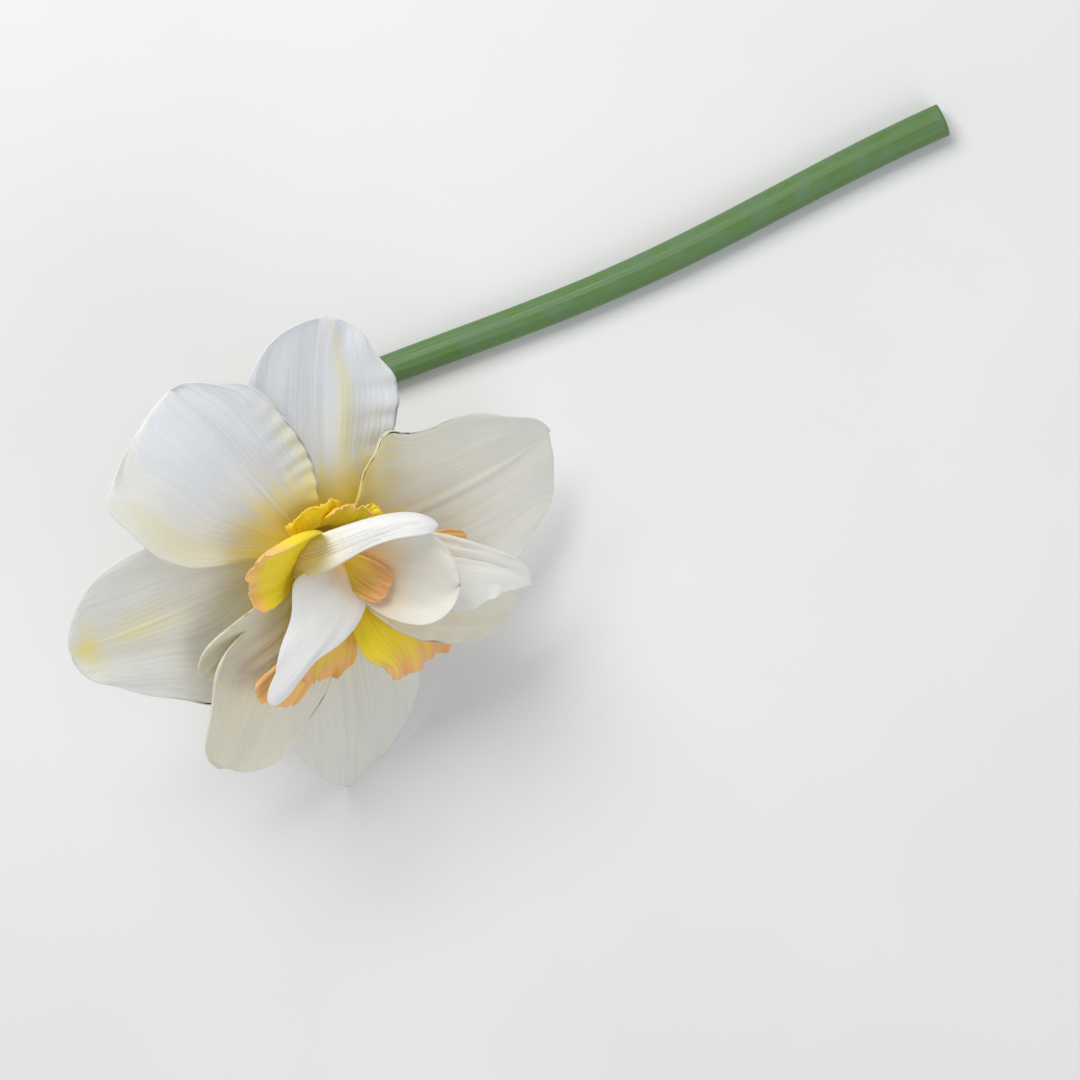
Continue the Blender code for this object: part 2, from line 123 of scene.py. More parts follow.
# What a blade has unless its own line says otherwise
PLAIN = {
    "turn": 0.0,  # direction of its base round the bloom axis
    "heading": 0.0,  # direction in which it leaves the base, from turn
    "sweep": 0.0,  # how far that direction has swung at the tip
    "radius": 7.0,  # distance of its base from the bloom axis
    "height": 0.6,  # height of its base above the mouth
    "length": 50.0,
    "half_width": 15.0,
    "foot": 0.22,  # half width of the base over half_width
    "widest": 0.6,  # share of the length where it is widest
    "tip": (2.2, 2.0),  # powers of the rounding beyond the widest place
    "finger": 0.0,  # least half width of a narrow end over half_width
    "rise": (0.0, 0.0, 0.0),  # slope of the midrib at base, middle and tip
    "cup": (20.0, 10.0),  # turn-up of the margins at base and tip
    "roll": (0.0, 0.0),  # extra roll of the ccw and cw margins
    "twist": (0.0, 0.0),  # turn about the midrib at base and tip
    "crease": 0.0,  # depth of the groove along the midrib
    "side_wave": (0.0, 1.0, 0.0),  # height, number and phase of waves along the sides
    "end_wave": (0.0, 1.0, 0.0),  # height, number and phase of waves across the end
    "edges": (),  # outline marks: side, place along, spread, share of the half width
    "lips": (),  # curled margins: side, place along, spread, angle
    "ruffles": (),  # waves of a margin: side, place along, spread, height, number
    "crumple": 0.3,  # height of the soft unevenness of the whole blade
    "frill": (0.0, 6.0),  # height and number of the crinkles at the margin
    "fringe": 0.0,  # depth of the uneven margin, as a share of the half width
    "pleat": 0.05,  # height of the ribs over the veins
    "blush": (0.25, 1.0),  # reach and strength of the yellow at the base
    "flush": (0.0, 0.0),  # width and strength of the salmon margin
    "patches": (),  # extra yellow: place along, place across, their spreads, strength
    "glows": (),  # apricot: place along, place across, their spreads, strength
    "warmth": 0.0,  # share of ivory in its white
}

TEPALS = {
    "tepal_inner_1": dict(
        turn=176, heading=-6, height=1.8, length=44, half_width=17.3, foot=0.3, widest=0.54,
        tip=(2.5, 1.7), rise=(8, -4, -24), cup=(22, 12), side_wave=(0.6, 1.2, 200), crease=0.7,
        edges=((1, 0.65, 0.35, 0.38), (1, 0.92, 0.14, 0.6), (-1, 0.5, 0.6, -0.3), (-1, 0.95, 0.12, -0.25),
               (-1, 0.15, 0.12, -0.1)),
        lips=((1, 0.5, 0.3, 24), (-1, 0.35, 0.22, 40)), ruffles=((-1, 0.38, 0.22, 0.45, 11),),
        frill=(0.25, 9), blush=(0.36, 1.0),
        patches=((0.5, 0.85, 0.4, 0.25, 0.3), (0.4, -0.9, 0.25, 0.2, 0.25)),
    ),
    "tepal_outer_1": dict(
        turn=134.5, length=39.8, half_width=17, foot=0.28, widest=0.54, sweep=-12, tip=(2.8, 1.9),
        rise=(-2, -6, -8), cup=(8, 10), side_wave=(0.5, 1.0, 60), crease=0.3,
        edges=((-1, 0.85, 0.14, -0.22), (1, 0.7, 0.3, -0.05), (-1, 0.12, 0.12, 0.7)),
        ruffles=((-1, 0.45, 0.3, 0.4, 6),), frill=(0.3, 7), blush=(0.3, 1.0),
        patches=((0.55, -0.35, 0.6, 0.1, 0.3),),
    ),
    "tepal_inner_2": dict(
        turn=55, height=1.8, length=45.5, half_width=17, foot=0.3, widest=0.44, sweep=12,
        tip=(3.0, 1.5), rise=(8, 2, -4), cup=(18, 10), side_wave=(0.8, 1.2, 20), crease=0.9,
        edges=((1, 0.13, 0.13, 1.1), (1, 0.33, 0.16, 0.1), (1, 0.85, 0.15, -0.2), (-1, 0.6, 0.35, 0.22),
               (-1, 0.93, 0.08, 0.3)),
        lips=((1, 0.12, 0.12, 38),), ruffles=((1, 0.1, 0.12, 0.8, 9),),
        frill=(0.15, 7), blush=(0.25, 0.8), warmth=0.6,
    ),
    "tepal_outer_2": dict(
        turn=233, length=45.5, half_width=17, foot=0.26, widest=0.56, tip=(2.6, 1.7),
        rise=(-2, -2, -8), cup=(8, 8), side_wave=(0.5, 1.0, 90), crease=0.3,
        edges=((1, 0.38, 0.17, 0.5), (1, 0.88, 0.15, -0.25), (-1, 0.9, 0.1, 0.05)),
        frill=(0.2, 6), blush=(0.25, 0.8), warmth=0.4,
        patches=((0.93, 0.1, 0.07, 0.5, 0.6), (0.72, 0.0, 0.2, 0.25, 0.3)),
    ),
    "tepal_inner_3": dict(
        turn=288, height=1.8, length=40, half_width=13.5, foot=0.28, widest=0.62, tip=(3.4, 1.9),
        rise=(8, 0, -4), cup=(18, 10), roll=(0, 60), side_wave=(0.5, 1.0, 40), crease=0.3,
        edges=((-1, 0.38, 0.25, 0.75), (-1, 0.75, 0.15, 0.1), (1, 0.8, 0.2, -0.15)),
        frill=(0.25, 7), blush=(0.4, 0.5), warmth=1.0,
    ),
    "tepal_outer_3": dict(
        turn=326, length=53, half_width=15.5, foot=0.26, widest=0.5, sweep=-10, tip=(1.7, 1.3),
        rise=(-2, -2, -10), cup=(8, 14), side_wave=(0.5, 1.0, 0), crease=0.5,
        edges=((1, 0.7, 0.2, 0.12),),
        frill=(0.15, 6), blush=(0.3, 0.7), warmth=0.6,
    ),
}

LOBE = dict(
    radius=5.7, height=0.55, half_width=8.0, foot=0.22, widest=0.82, tip=(2.4, 2.2),
    cup=(24, 8), length=26, twist=(-5, -12), frill=(1.0, 5), fringe=0.05, pleat=0.08, crumple=0.25,
    blush=(1.0, 0.0), flush=(0.3, 1.0),
)

LOBES = {
    "corona_lobe_1": dict(
        LOBE, turn=202, sweep=30, length=23, half_width=7.4, foot=0.36, rise=(74, 30, 6),
        cup=(34, 26), end_wave=(0.5, 2.0, 30), edges=((-1, 0.55, 0.3, 0.6),),
        lips=((-1, 0.7, 0.35, 95),), flush=(0.18, 1.0),
    ),
    "corona_lobe_2": dict(
        LOBE, turn=157, length=10.8, half_width=5.6, foot=0.42, rise=(70, 30, 10),
        end_wave=(0.5, 2.0, 200), flush=(0.1, 0.2),
    ),
    "corona_lobe_3": dict(
        LOBE, turn=124, length=12.4, half_width=4.6, foot=0.42, rise=(76, 46, 44),
        end_wave=(0.5, 2.5, 90), flush=(0.14, 0.9),
    ),
    "corona_lobe_4": dict(
        LOBE, turn=80, length=10.8, half_width=4.6, foot=0.42, rise=(77, 42, 24),
        end_wave=(0.5, 2.0, 0), flush=(0.1, 0.1),
    ),
    "corona_lobe_5": dict(
        LOBE, slot="corona_orange", turn=33, length=27, half_width=7, foot=0.18, rise=(78, 19, 8),
        end_wave=(0.5, 2.5, 120), flush=(0.6, 1.0),
    ),
    "corona_lobe_6": dict(
        LOBE, turn=-4, sweep=-40, length=30, half_width=11.5, foot=0.15, rise=(80, 16, 10),
        end_wave=(0.8, 2.5, 60), edges=((-1, 0.85, 0.2, -0.4),),
    ),
    "corona_lobe_7": dict(
        LOBE, slot="corona_orange", turn=-58, length=22, half_width=7.5, foot=0.18, rise=(81, 17, 12),
        end_wave=(0.6, 2.5, 0), flush=(0.5, 1.0),
    ),
    "corona_lobe_8": dict(
        LOBE, slot="corona_orange", turn=-83, length=28, half_width=9, foot=0.17, rise=(76, 14, 10),
        end_wave=(0.5, 2.5, 160), edges=((-1, 0.6, 0.27, -0.75),), flush=(0.6, 1.0),
    ),
}

FRILLS = {
    "corona_frill": dict(
        LOBE, turn=20, radius=1.3, length=17, half_width=4.0, foot=0.3, rise=(80, 74, 50),
        cup=(30, 20), twist=(0, 0), end_wave=(0.5, 2.5, 0), flush=(0.6, 1.0),
    ),
}

PETALOID = dict(frill=(0.1, 6), pleat=0.03, blush=(0.35, 0.8), crumple=0.2)

PETALOIDS = {
    "petaloid_1": dict(
        PETALOID, turn=211, heading=-110, sweep=-86, radius=9.4, height=5.4, length=32.5, half_width=4.9,
        foot=0.6, rise=(52, 35, -2), cup=(-10, -30), twist=(-82, -60), widest=0.5, tip=(2.4, 2.0),
        edges=((-1, 0.62, 0.35, -0.5), (1, 0.55, 0.4, -0.25)), crease=0.4,
        patches=((0.05, -0.2, 0.2, 0.8, 0.5),), glows=((0.45, -1.1, 0.3, 0.25, 0.3),),
    ),
    "petaloid_2": dict(
        PETALOID, turn=30, heading=226, sweep=27, radius=3.0, length=38.5, half_width=8.2, foot=0.3,
        rise=(90, 20, -12), cup=(10, -30), twist=(24, 4), widest=0.42, tip=(1.3, 1.0), finger=0.34,
        edges=((-1, 0.45, 0.13, 0.3), (-1, 0.78, 0.15, 0.3), (1, 0.47, 0.25, -0.3), (1, 0.72, 0.14, -0.45)),
        blush=(0.2, 0.6), glows=((0.15, 0.0, 0.14, 1.5, 0.6),),
    ),
    "petaloid_3": dict(
        PETALOID, turn=42, radius=3.2, length=28, half_width=9.2, foot=0.17, widest=0.66,
        tip=(2.4, 2.0), rise=(86, 60, 44), cup=(46, 24), end_wave=(0.5, 1.5, 0),
        edges=((1, 0.82, 0.16, 0.35),), glows=((0.3, 0.1, 0.28, 1.2, 0.9),), warmth=0.5,
    ),
    "petaloid_4": dict(
        PETALOID, turn=53, sweep=-60, radius=4.6, length=42.5, half_width=7.5, foot=0.15, widest=0.6,
        tip=(1.6, 1.1), rise=(82, 28, 2), cup=(24, 20), twist=(-8, -4), crease=0.3,
        edges=((1, 0.7, 0.25, -0.5), (-1, 0.6, 0.3, 0.35)), ruffles=((-1, 0.65, 0.3, 0.35, 9),),
        glows=((0.3, 0.3, 0.22, 0.9, 0.6),), warmth=0.3,
    ),
    "petaloid_5": dict(
        PETALOID, turn=12, sweep=32, radius=4.7, length=41.5, half_width=8.8, foot=0.15, widest=0.66,
        tip=(2.0, 1.5), rise=(86, 15, -2), cup=(16, 10), twist=(-9, 0), side_wave=(0.5, 2.0, 0),
        edges=((-1, 0.7, 0.3, -0.1),), ruffles=((-1, 0.65, 0.3, 0.4, 8),),
        # Its full ivory is partly its own cream and partly painted shade: the darker ivory stands in for the
        # shadow that this petaloid lies in.
        glows=((0.3, -0.3, 0.2, 0.9, 0.6),), warmth=1.0,
    ),
    "petaloid_6": dict(
        PETALOID, turn=252, sweep=18, radius=5.7, height=0.55, length=30, half_width=7.6, foot=0.13,
        widest=0.62, tip=(3.0, 2.0), rise=(72, -4, -2), cup=(8, 4), roll=(0, 60),
        blush=(0.5, 0.6), warmth=1.0,
    ),
}

# Colours, linear
SNOW = (0.76, 0.78, 0.81)
MILK = (0.90, 0.90, 0.87)
SHADE = (0.62, 0.65, 0.69)
IVORY = (0.82, 0.77, 0.60)
LEMON = (0.90, 0.72, 0.06)
EGG_YOLK = (1.0, 0.72, 0.02)
SALMON = (0.95, 0.47, 0.22)
APRICOT = (0.95, 0.60, 0.26)
LEAF = (0.075, 0.17, 0.035)
DEEP_LEAF = (0.02, 0.06, 0.025)
GREY_BLOOM = (0.16, 0.24, 0.22)
LIME = (0.30, 0.38, 0.06)
STRAW = (0.42, 0.30, 0.16)
BARK = (0.14, 0.085, 0.045)

# Patterns: streaks across and along a piece's own map, and grains to a metre
FINE_STREAKS = (120.0, 1.2)
BROAD_STREAKS = (26.0, 1.0)
STALK_STREAKS = (30.0, 1.2)
TUBE_STREAKS = (22.0, 1.0)
PAPER_STREAKS = (24.0, 1.4)
PETAL_CELLS = 2600.0
PETAL_MOTTLE = 130.0
WAX_PATCHES = 220.0
STALK_GRAIN = 2400.0
PAPER_SPOTS = 340.0

# Camera and light
CAMERA_ROLL = -24.0
CAMERA_HEIGHT = 600.0  # above the mouth of the tube
CAMERA_LENS = 105.26
FRAME_MIDDLE = (42.2, 1.5)  # middle of the picture from the mouth, rightwards and upwards
ROOM_BRIGHTNESS = 0.44
TABLE_HALF_SIZE = 2.0  # in metres
TABLE_GREYS = ((0.77, 0.77, 0.775), (0.81, 0.81, 0.815))

# Square soft lights: place from the mouth (right, up, above) and side in metres, power in watts, tint
LIGHTS = {
    "key_light": dict(place=(-0.28, 0.42, 0.62), side=0.45, power=4.9, tint=(1.0, 0.985, 0.96)),
    "fill_light": dict(place=(0.55, -0.45, 0.5), side=0.7, power=2.0, tint=(0.93, 0.96, 1.0)),
}


def bloom_frame():
    """Columns: the bloom's down-slope direction, its level direction and its axis."""
    tilt, turn = math.radians(FACE_TILT), math.radians(FACE_TURN)
    down = (math.cos(tilt) * math.cos(turn), math.cos(tilt) * math.sin(turn), -math.sin(tilt))
    level = (-math.sin(turn), math.cos(turn), 0.0)
    return np.column_stack([down, level, np.cross(down, level)])


def node_points(name):
    """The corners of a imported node, in millimetres."""
    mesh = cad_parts[name].data
    points = np.empty(len(mesh.vertices) * 3)
    mesh.vertices.foreach_get("co", points)
    return points.reshape(-1, 3) / MM


def mouth_place():
    """Middle of the tube's mouth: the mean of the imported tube's ring farthest along the bloom axis."""
    points = node_points("floral_tube")
    reach = points @ AXES[:, 2]
    rim = np.unique(points[reach > reach.max() - 0.02].round(3), axis=0)
    return rim.mean(axis=0)


AXES = bloom_frame()
MOUTH = mouth_place()


# ---------------------------------------------------------------- mesh and finish helpers


def uneven(places, seed, waves=4, slowest=1.0):
    """A smooth uneven curve between -1 and 1: sines whose rates rise by about 1.7, at seeded phases."""
    phases = np.random.default_rng(seed).uniform(0, 2 * np.pi, waves)
    rates = slowest * 1.7 ** np.arange(waves)
    heights = 0.75 ** np.arange(waves)
    total = sum(h * np.sin(2 * np.pi * r * places + p) for h, r, p in zip(heights, rates, phases))
    return total / heights.sum()


def sheet_faces(rows, columns, around=False):
    """Quads of a grid of points, closed round its columns where asked."""
    row, column = np.meshgrid(np.arange(rows - 1), np.arange(columns - (not around)), indexing="ij")
    near, far = row * columns, (row + 1) * columns
    after = (column + 1) % columns
    return np.stack([near + column, near + after, far + after, far + column], axis=-1).reshape(-1, 4)


def rim_order(rows, columns):
    """Indices of a grid's border, once round."""
    near = np.arange(columns)
    right = np.arange(1, rows) * columns + columns - 1
    far = (rows - 1) * columns + np.arange(columns - 2, -1, -1)
    left = np.arange(rows - 2, 0, -1) * columns
    return np.concatenate([near, right, far, left])


def walled(points, thickness):
    """A closed shell round a grid: both faces lie half the thickness from it along its normals."""
    along = np.gradient(points, axis=0)
    across = np.gradient(points, axis=1)
    normal = np.cross(across, along)
    normal /= np.maximum(np.linalg.norm(normal, axis=-1, keepdims=True), 1e-9)
    rows, columns = points.shape[:2]
    outer = (points + normal * thickness[..., None] / 2).reshape(-1, 3)
    inner = (points - normal * thickness[..., None] / 2).reshape(-1, 3)
    faces = sheet_faces(rows, columns)
    rim = rim_order(rows, columns)
    after = np.roll(rim, -1)
    count = rows * columns
    band = np.stack([rim, rim + count, after + count, after], axis=-1)
    return np.vstack([outer, inner]), np.vstack([faces, faces[:, ::-1] + count, band])


def add_piece(name, points, faces, fields=None, caps=()):
    """A smooth mesh at the origin from points in millimetres, with named point fields and a UV map."""
    mesh = bpy.data.meshes.new(name)
    mesh.from_pydata((points * MM).tolist(), [], faces.tolist() + [list(cap) for cap in caps])
    for field, values in (fields or {}).items():
        if field == "uv":
            corners = np.empty(len(mesh.loops), np.int32)
            mesh.loops.foreach_get("vertex_index", corners)
            mesh.uv_layers.new(name="surface").data.foreach_set("uv", values[corners].ravel())
        else:
            layer = mesh.attributes.new(field, "FLOAT", "POINT")
            layer.data.foreach_set("value", values.astype(np.float32))
    mesh.shade_smooth()
    piece = bpy.data.objects.new(name, mesh)
    bpy.context.scene.collection.objects.link(piece)
    return piece


def add_node(tree, kind, settings=None, **inputs):
    """A shader node with its settings, and inputs (n0, n1, or by name) as values or other nodes' outputs."""
    made = tree.nodes.new(kind)
    for name, value in (settings or {}).items():
        setattr(made, name, value)
    for name, value in inputs.items():
        numbered = name[0] == "n" and name[1:].isdigit()
        socket = made.inputs[int(name[1:]) if numbered else name]
        if isinstance(value, bpy.types.NodeSocket):
            tree.links.new(value, socket)
        else:
            socket.default_value = value
    return made


def mixed(tree, share, first, second):
    """A colour between two, by a share."""
    made = add_node(tree, "ShaderNodeMix", {"data_type": "RGBA"})
    for index, value in ((0, share), (6, first), (7, second)):
        if isinstance(value, bpy.types.NodeSocket):
            tree.links.new(value, made.inputs[index])
        else:
            made.inputs[index].default_value = (*value, 1.0) if isinstance(value, tuple) else value
    return made.outputs[2]


def counted(tree, operation, first, second=0.5, third=0.5, clamp=False):
    """One step of arithmetic."""
    settings = {"operation": operation, "use_clamp": clamp}
    return add_node(tree, "ShaderNodeMath", settings, n0=first, n1=second, n2=third).outputs[0]


def ranged(tree, value, low, high, to_low=0.0, to_high=1.0):
    """A value moved from one range to another and held inside it."""
    ends = dict(n1=low, n2=high, n3=to_low, n4=to_high)
    return add_node(tree, "ShaderNodeMapRange", {"clamp": True}, n0=value, **ends).outputs[0]


def field(tree, name):
    """A point field of the piece's mesh."""
    return add_node(tree, "ShaderNodeAttribute", {"attribute_name": name}).outputs["Fac"]


def noise(tree, vector, scale, detail=3.0, roughness=0.55):
    inputs = dict(Vector=vector, Scale=scale, Detail=detail, Roughness=roughness)
    return add_node(tree, "ShaderNodeTexNoise", None, **inputs).outputs[0]


def surface_vector(tree, across, along):
    """The piece's own UV map, stretched so that a noise turns into streaks along it."""
    uv = add_node(tree, "ShaderNodeUVMap", {"uv_map": "surface"}).outputs[0]
    return add_node(tree, "ShaderNodeMapping", None, Vector=uv, Scale=(across, along, 1.0)).outputs[0]


def own_vector(tree):
    return add_node(tree, "ShaderNodeTexCoord").outputs["Object"]


def new_material(name):
    material = bpy.data.materials.new(name)
    material.use_nodes = True
    return material, material.node_tree, material.node_tree.nodes["Principled BSDF"]


def set_bump(tree, shader, height, strength, distance):
    bump = add_node(tree, "ShaderNodeBump", None, Height=height, Strength=strength, Distance=distance * MM)
    tree.links.new(bump.outputs[0], shader.inputs["Normal"])


def set_glow(shader, weight, radius, tint):
    """Light that spreads inside thin living tissue."""
    shader.inputs["Subsurface Weight"].default_value = weight
    shader.inputs["Subsurface Radius"].default_value = tint
    shader.inputs["Subsurface Scale"].default_value = radius * MM


# ---------------------------------------------------------------- blades


def direction(slope, heading):
    """Unit vectors at a slope above the mouth's plane and a heading round the bloom axis."""
    flat = np.cos(slope)
    return np.stack([flat * np.cos(heading), flat * np.sin(heading), np.sin(slope)], axis=-1)


def along(blade, x):
    """Slope and heading of the midrib at shares x: a quadratic through three slopes, a square sweep."""
    base, middle, tip = np.radians(blade["rise"])
    slope = base * (1 - x) * (1 - 2 * x) + 4 * middle * x * (1 - x) + tip * x * (2 * x - 1)
    return slope, np.radians(blade["turn"] + blade["heading"] + blade["sweep"] * x**2)


def midrib(blade, x, steps=200):
    """Points of the midrib: the running sum of its direction, from the base on."""
    ends = np.linspace(0, 1, steps + 1)
    slope, heading = along(blade, (ends[1:] + ends[:-1]) / 2)
    walk = np.vstack([np.zeros(3), np.cumsum(direction(slope, heading), axis=0) * blade["length"] / steps])
    turn = math.radians(blade["turn"])
    base = np.array([math.cos(turn) * blade["radius"], math.sin(turn) * blade["radius"], blade["height"]])
    return base + np.stack([np.interp(x, ends, walk[:, axis]) for axis in range(3)], axis=-1)


def opening(blade, x):
    """Half width before the end is rounded: a quarter sine from the foot to the widest place."""
    grown = np.sin(np.pi / 2 * np.minimum(x / blade["widest"], 1))
    return blade["half_width"] * (blade["foot"] + (1 - blade["foot"]) * grown)


def closing(blade, x):
    """Share of that width left beyond the widest place: a superellipse, or a narrow finger."""
    beyond = np.clip((x - blade["widest"]) / (1 - blade["widest"]), 0, 1)
    first, second = blade["tip"]
    round_end = np.maximum(1 - beyond**first, 0) ** (1 / second)
    return np.maximum(round_end, blade["finger"] * np.sqrt(1 - beyond**8))


def reach_of(blade, t):
    """How far along the midrib each line of constant t runs before it meets the margin."""
    x = np.linspace(1, blade["widest"], 400)
    return np.interp(np.abs(t), np.maximum.accumulate(closing(blade, x)), x)


def bump_sum(marks, x, side):
    """Sum of bell curves along x for the marks on one side."""
    total = np.zeros_like(x)
    for mark_side, at, spread, amount in marks:
        total += (side == mark_side) * amount * np.exp(-(((x - at) / spread) ** 2))
    return total


def arc(angle, rate, reach):
    """Sideways and inward run of a strip that starts at an angle and bends at a steady rate."""
    middle, shrink = angle + rate * reach / 2, np.sinc(rate * reach / (2 * np.pi))
    return reach * np.cos(middle) * shrink, reach * np.sin(middle) * shrink


def cross_section(blade, x, o):
    """Sideways and inward place over the half width: three arcs, for the cup, the roll and the lip."""
    side = np.where(o >= 0, 1, -1)
    far = np.abs(o)
    cup = np.interp(x, [0, 1], np.radians(blade["cup"]))
    grown = np.sin(np.pi / 2 * np.clip(x / ROLL_GROWN, 0, 1))
    roll = np.radians(np.where(side > 0, *blade["roll"])) * grown / (1 - ROLL_FROM)
    lip = np.radians(bump_sum(blade["lips"], x, side)) / (1 - LIP_FROM)
    sideways, inward = arc(0, cup, np.minimum(far, ROLL_FROM))
    more = arc(cup * ROLL_FROM, cup + roll, np.clip(far - ROLL_FROM, 0, LIP_FROM - ROLL_FROM))
    bend = cup * LIP_FROM + roll * (LIP_FROM - ROLL_FROM)
    last = arc(bend, cup + roll + lip, np.maximum(far - LIP_FROM, 0))
    return side * (sideways + more[0] + last[0]), inward + more[1] + last[1]


def rolling(t, x, seed, waves=7):
    """A smooth uneven field between about -1 and 1: plane sines, slower along the blade than across it."""
    draw = np.random.default_rng(seed)
    total = np.zeros_like(x)
    for k in range(waves):
        across = draw.uniform(0.4, 2.4)
        onward = draw.uniform(-1.6, 1.6)
        phase = draw.uniform(0, 2 * np.pi)
        total += np.sin(2 * np.pi * (across * t + onward * x) + phase) / (1 + 0.25 * k)
    return total / 2.4  # the usual peak of the sum


def relief(blade, s, t, x, o, seed):
    """Height over the blade: waves of sides and end, crease, crinkled and ruffled margins, crumple, ribs."""
    height, number, phase = blade["side_wave"]
    total = height * np.abs(o) ** 3 * np.sign(o) * np.sin(2 * np.pi * number * x + math.radians(phase))
    height, number, phase = blade["end_wave"]
    total += height * x**3 * np.sin(np.pi * number * o + math.radians(phase))
    ridge = RIDGE_HEIGHT * np.exp(-((RIDGE_NARROWER * o / CREASE_SPREAD) ** 2))
    groove = np.exp(-((o / CREASE_SPREAD) ** 2)) - ridge
    total -= blade["crease"] * groove * np.sin(np.pi * x)
    height, number = blade["frill"]
    around = t / 2 + 0.35 * np.sign(t) * (x - 0.5) * np.abs(o) ** 4
    crinkle = uneven(around, seed, slowest=number / 3)
    total += height * crinkle * s**3 * (FRILL_INSIDE + (1 - FRILL_INSIDE) * np.abs(o) ** 2)
    for side, at, spread, height, number in blade["ruffles"]:
        wave = np.sin(2 * np.pi * number * x + 1.5 * uneven(x, seed + 6))
        total += (np.sign(t) == side) * height * wave * np.abs(o) ** 3 * np.exp(-(((x - at) / spread) ** 2))
    total += blade["crumple"] * rolling(t, x, seed + 7) * np.sqrt(np.clip(s, 0, 1))
    ribs = uneven(t, seed + 1, waves=5, slowest=5.0) + 0.5 * np.cos(2 * np.pi * RIB_COUNT * t)
    return total + blade["pleat"] * ribs * np.sin(np.pi * np.clip(s, 0, 0.98))


def blade_grid(blade, rows, columns, seed):
    """The middle surface: s runs along lines that fan out from the base and end on the margin."""
    s, t = np.meshgrid(np.linspace(0, 1, rows), np.linspace(-1, 1, columns), indexing="ij")
    nick = 1 - blade["fringe"] * (0.5 + 0.5 * uneven(t, seed + 2, waves=4, slowest=1.2))
    x = np.clip(s * reach_of(blade, t) * (1 + (nick - 1) * s), 0, 1)
    width = opening(blade, x) * np.maximum(closing(blade, x), 1e-3)
    o = np.clip(t * opening(blade, x) / width, -1, 1)
    edge = 1 + bump_sum(blade["edges"], x, np.where(t >= 0, 1, -1))
    edge += blade["fringe"] * 0.6 * uneven(x, seed + 3, waves=4, slowest=1.5) * np.abs(o) ** 3
    slope, heading = along(blade, x)
    forward = direction(slope, heading)
    level = np.stack([-np.sin(heading), np.cos(heading), np.zeros_like(x)], axis=-1)
    face = np.cross(forward, level)
    twist = np.interp(x, [0, 1], np.radians(blade["twist"]))[..., None]
    side = level * np.cos(twist) + face * np.sin(twist)
    inner = face * np.cos(twist) - level * np.sin(twist)
    sideways, inward = cross_section(blade, x, o)
    inward = inward * width * edge + relief(blade, s, t, x, o, seed)
    sideways = sideways * width * edge
    points = midrib(blade, x) + side * sideways[..., None] + inner * inward[..., None]
    return points, s, t, x, o


def spots(marks, x, o, streak):
    """The greatest of some bell-shaped spots, drawn out along the veins."""
    total = np.zeros_like(x)
    for place, across, spread, side_spread, amount in marks:
        spot = ((x - place) / spread) ** 2 + ((o - across) / side_spread) ** 2
        total = np.maximum(total, amount * (1 + 0.3 * streak) * np.exp(-spot))
    return total


def blade_fields(blade, s, t, x, o, seed):
    """Yellow at the base and in spots, salmon at the margin and in spots, and how ivory the white is."""
    streak = uneven(t, seed + 4, waves=6, slowest=3.0)
    reach, strength = blade["blush"]
    blush = strength * np.clip(1 - x / (reach * (1 + BLUSH_STREAKS * streak)), 0, 1) ** 0.8
    blush = np.maximum(blush, spots(blade["patches"], x, o, streak))
    width, strength = blade["flush"]
    flush = strength * np.clip((s - 1 + width * (1 + FLUSH_STREAKS * streak)) / max(width, 1e-3), 0, 1)
    flush = np.maximum(flush, spots(blade["glows"], x, o, streak))
    warm = blade["warmth"] * (1 + WARM_STREAKS * streak)
    warm += BASE_WARMTH * np.clip(1 - x / BASE_WARM_REACH, 0, 1)
    return np.clip(blush, 0, 1), np.clip(flush, 0, 1), np.clip(warm, 0, 1)


def blade_thickness(s, o):
    """Thick at the base, thin at the margin, with a low midrib."""
    base, middle, margin = BLADE_THICKNESS
    thick = middle + (base - middle) * (1 - s) ** 3
    rounded = np.sqrt(np.clip(1 - np.maximum(s**6, np.abs(o) ** 6), 0, 1))
    return margin + (thick - margin) * rounded


def add_blade(name, blade, size, material, seed):
    """One tepal, lobe or petaloid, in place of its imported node."""
    blade = {**PLAIN, **blade}
    points, s, t, x, o = blade_grid(blade, *size, seed)
    points = points @ AXES.T + MOUTH
    solid, faces = walled(points, blade_thickness(s, o))
    values = blade_fields(blade, s, t, x, o, seed)
    fields = {field: np.tile(value.ravel(), 2) for field, value in zip(("blush", "flush", "warm"), values)}
    fields["uv"] = np.tile(np.stack([(t.ravel() + 1) / 2, s.ravel()], axis=-1), (2, 1))
    piece = add_piece(name + "_skin", solid, faces, fields)
    piece.data.materials.append(material)
    place_piece(piece, name)


def place_piece(piece, node):
    """Puts a piece on the one body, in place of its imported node."""
    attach(piece, "root")
    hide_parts(node)


